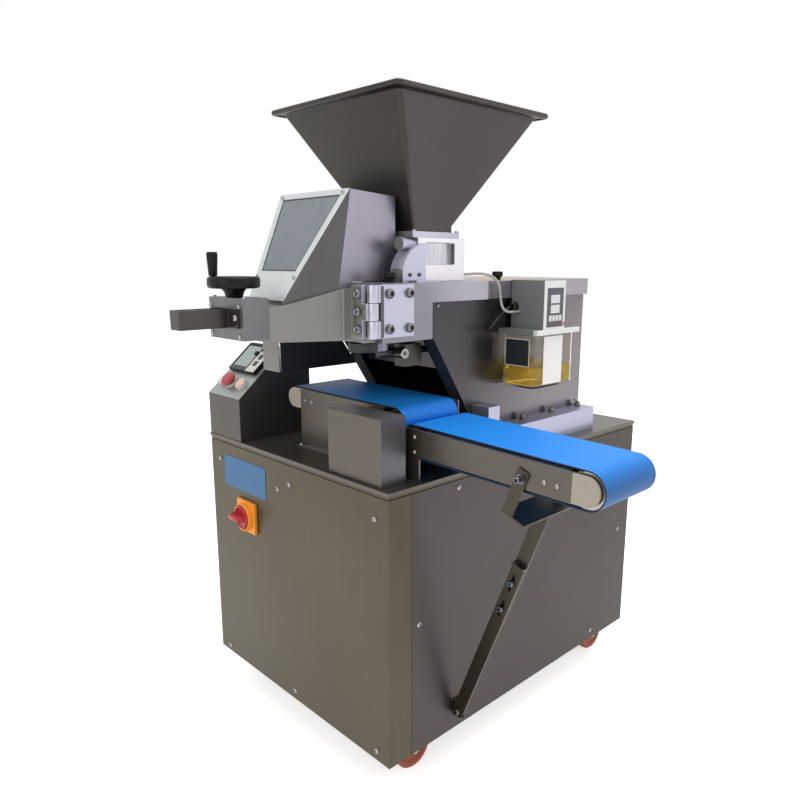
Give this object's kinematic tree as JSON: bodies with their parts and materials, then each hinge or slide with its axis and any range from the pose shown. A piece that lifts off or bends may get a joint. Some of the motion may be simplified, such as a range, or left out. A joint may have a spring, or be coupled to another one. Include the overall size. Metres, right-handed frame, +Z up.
{
  "type": "dough divider",
  "caption": "Floor-standing dough divider: hopper over a ram-fed dividing head with a swing-open windowed front, outfeed belts, console and lubricator on a castor cabinet.",
  "frame": {"origin": "on the floor, under the middle of the whole machine's bounding box", "axes": "+Z up, +X towards the outfeed belt's end, -Y towards the operator at the front"},
  "size_m": [1.115, 1.245, 1.475],
  "materials": {
    "panel_steel": "satin",
    "bright_steel": "brushed",
    "aluminium": "machined",
    "castor_rubber": "satin",
    "yellow_plastic": "gloss",
    "red_plastic": "gloss",
    "black_plastic": "satin",
    "pale_green_plastic": "gloss",
    "pink_plastic": "gloss",
    "cream_plastic": "satin",
    "blue_belt": "satin",
    "clear_glass": "polished",
    "dark_bolts": "satin",
    "white_plastic": "satin",
    "amber_plastic": "polished"
  },
  "bodies": {
    "machine": {"cabinet_frame": "panel_steel", "front_panel": "panel_steel", "side_panels": "panel_steel", "table_plate": "panel_steel", "switch_plate": "yellow_plastic", "console": "panel_steel", "display_unit": "black_plastic", "button_collars": "bright_steel", "belt1_frame": "bright_steel", "belt1_end_blocks": "cream_plastic", "belt1_belt": "blue_belt", "drive_cover": "bright_steel", "belt2_frame": "bright_steel", "belt2_end_blocks": "cream_plastic", "belt2_belt": "blue_belt", "strut_brackets": "bright_steel", "strut_upper": "bright_steel", "strut_lower": "bright_steel", "plinth": "bright_steel", "belt_post": "bright_steel", "housing": "bright_steel", "housing_lid": "panel_steel", "head": "aluminium", "feed_box": "aluminium", "feed_ends": "aluminium", "hopper": "bright_steel", "hinge_leaf_fixed": "aluminium", "machine_bolts": "dark_bolts", "lubricator": "white_plastic", "oil_tank": "amber_plastic", "oil_tube": "bright_steel", "lubricator_cable": "black_plastic"},
    "castor_1": {"castor_fork_1": "bright_steel"},
    "castor_tyre_1": {"castor_wheel_1": "castor_rubber"},
    "castor_2": {"castor_fork_2": "bright_steel"},
    "castor_tyre_2": {"castor_wheel_2": "castor_rubber"},
    "castor_3": {"castor_fork_3": "bright_steel"},
    "castor_tyre_3": {"castor_wheel_3": "castor_rubber"},
    "castor_4": {"castor_fork_4": "bright_steel"},
    "castor_tyre_4": {"castor_wheel_4": "castor_rubber"},
    "switch_knob": {"switch_knob": "red_plastic"},
    "estop_button": {"estop_button": "red_plastic"},
    "start_button": {"start_button": "pale_green_plastic"},
    "stop_button": {"stop_button": "pink_plastic"},
    "belt1_drive_roller": {"belt1_drive_roller": "bright_steel"},
    "belt1_idler_roller": {"belt1_idler_roller": "bright_steel"},
    "belt2_drive_roller": {"belt2_drive_roller": "bright_steel"},
    "belt2_idler_roller": {"belt2_idler_roller": "bright_steel"},
    "lid_knob": {"lid_knob": "black_plastic"},
    "head_knob": {"head_knob": "black_plastic"},
    "feed_slide": {"feed_slide": "aluminium"},
    "feed_ram": {"feed_ram": "bright_steel"},
    "handwheel": {"handwheel": "black_plastic"},
    "handwheel_grip": {"handwheel_grip": "black_plastic"},
    "door": {"hinge_leaf_door": "aluminium", "door": "aluminium", "nose_box": "aluminium", "handle": "bright_steel", "hood": "bright_steel", "window_pane": "clear_glass"}
  },
  "joints": [
    {"name": "castor_1_swivel", "type": "hinge", "parent": "machine", "child": "castor_1", "pos_m": [-0.4935, -0.2245, 0.11], "axis": [0, 0, 1], "continuous": true},
    {"name": "castor_1_roll", "type": "hinge", "parent": "castor_1", "child": "castor_tyre_1", "pos_m": [-0.4935, -0.2045, 0.05], "axis": [1, 0, 0], "continuous": true},
    {"name": "castor_2_swivel", "type": "hinge", "parent": "machine", "child": "castor_2", "pos_m": [0.0825, -0.2245, 0.11], "axis": [0, 0, 1], "continuous": true},
    {"name": "castor_2_roll", "type": "hinge", "parent": "castor_2", "child": "castor_tyre_2", "pos_m": [0.0825, -0.2045, 0.05], "axis": [1, 0, 0], "continuous": true},
    {"name": "castor_3_swivel", "type": "hinge", "parent": "machine", "child": "castor_3", "pos_m": [-0.4935, 0.5205, 0.11], "axis": [0, 0, 1], "continuous": true},
    {"name": "castor_3_roll", "type": "hinge", "parent": "castor_3", "child": "castor_tyre_3", "pos_m": [-0.4935, 0.5405, 0.05], "axis": [1, 0, 0], "continuous": true},
    {"name": "castor_4_swivel", "type": "hinge", "parent": "machine", "child": "castor_4", "pos_m": [0.0825, 0.5205, 0.11], "axis": [0, 0, 1], "continuous": true},
    {"name": "castor_4_roll", "type": "hinge", "parent": "castor_4", "child": "castor_tyre_4", "pos_m": [0.0825, 0.5405, 0.05], "axis": [1, 0, 0], "continuous": true},
    {"name": "main_switch_turn", "type": "hinge", "parent": "machine", "child": "switch_knob", "pos_m": [-0.3845, -0.3245, 0.514], "axis": [0, -1, 0], "range_deg": [0, 90]},
    {"name": "estop_button_press", "type": "slide", "parent": "machine", "child": "estop_button", "axis": [0, 0.6561, -0.7547], "range_m": [0, 0.004], "stiffness_N_per_m": 400},
    {"name": "start_button_press", "type": "slide", "parent": "machine", "child": "start_button", "axis": [0, 0.6561, -0.7547], "range_m": [0, 0.004], "stiffness_N_per_m": 400},
    {"name": "stop_button_press", "type": "slide", "parent": "machine", "child": "stop_button", "axis": [0, 0.6561, -0.7547], "range_m": [0, 0.004], "stiffness_N_per_m": 400},
    {"name": "belt1_drive_roller_turn", "type": "hinge", "parent": "machine", "child": "belt1_drive_roller", "pos_m": [0.0495, -0.137, 0.817], "axis": [0, 1, 0], "continuous": true},
    {"name": "belt1_idler_roller_turn", "type": "hinge", "parent": "machine", "child": "belt1_idler_roller", "pos_m": [-0.3105, -0.137, 0.817], "axis": [0, 1, 0], "continuous": true},
    {"name": "belt2_drive_roller_turn", "type": "hinge", "parent": "machine", "child": "belt2_drive_roller", "pos_m": [0.1065, -0.137, 0.781], "axis": [0, 1, 0], "continuous": true},
    {"name": "belt2_idler_roller_turn", "type": "hinge", "parent": "machine", "child": "belt2_idler_roller", "pos_m": [0.5215, -0.137, 0.773], "axis": [0, 1, 0], "continuous": true},
    {"name": "door_swing", "type": "hinge", "parent": "machine", "child": "door", "pos_m": [0.107, -0.3275, 1.0515], "axis": [0, 0, 1], "range_deg": [0, 110]},
    {"name": "handwheel_turn", "type": "hinge", "parent": "door", "child": "handwheel", "pos_m": [-0.1015, -0.4985, 1.091], "axis": [0, 0, 1], "continuous": true},
    {"name": "handwheel_grip_spin", "type": "hinge", "parent": "handwheel", "child": "handwheel_grip", "pos_m": [-0.12859, -0.52655, 1.13], "axis": [0, 0, 1], "continuous": true},
    {"name": "lid_knob_turn", "type": "hinge", "parent": "machine", "child": "lid_knob", "pos_m": [0.0445, 0.1135, 1.106], "axis": [0, 0, 1], "continuous": true},
    {"name": "head_knob_turn", "type": "hinge", "parent": "machine", "child": "head_knob", "pos_m": [0.0695, -0.2505, 1.106], "axis": [0, 0, 1], "continuous": true},
    {"name": "feed_ram_stroke", "type": "slide", "parent": "machine", "child": "feed_ram", "axis": [0, -1, 0], "range_m": [0, 0.04]},
    {"name": "feed_slide_stroke", "type": "slide", "parent": "machine", "child": "feed_slide", "axis": [0, 1, 0], "range_m": [0, 0.028]}
  ],
  "couplings": [
    {"joint": "belt1_idler_roller_turn", "follows": "belt1_drive_roller_turn", "ratio": 1},
    {"joint": "belt2_drive_roller_turn", "follows": "belt1_drive_roller_turn", "ratio": 0.75},
    {"joint": "belt2_idler_roller_turn", "follows": "belt1_drive_roller_turn", "ratio": 0.75},
    {"joint": "feed_slide_stroke", "follows": "feed_ram_stroke", "ratio": 0.7}
  ]
}
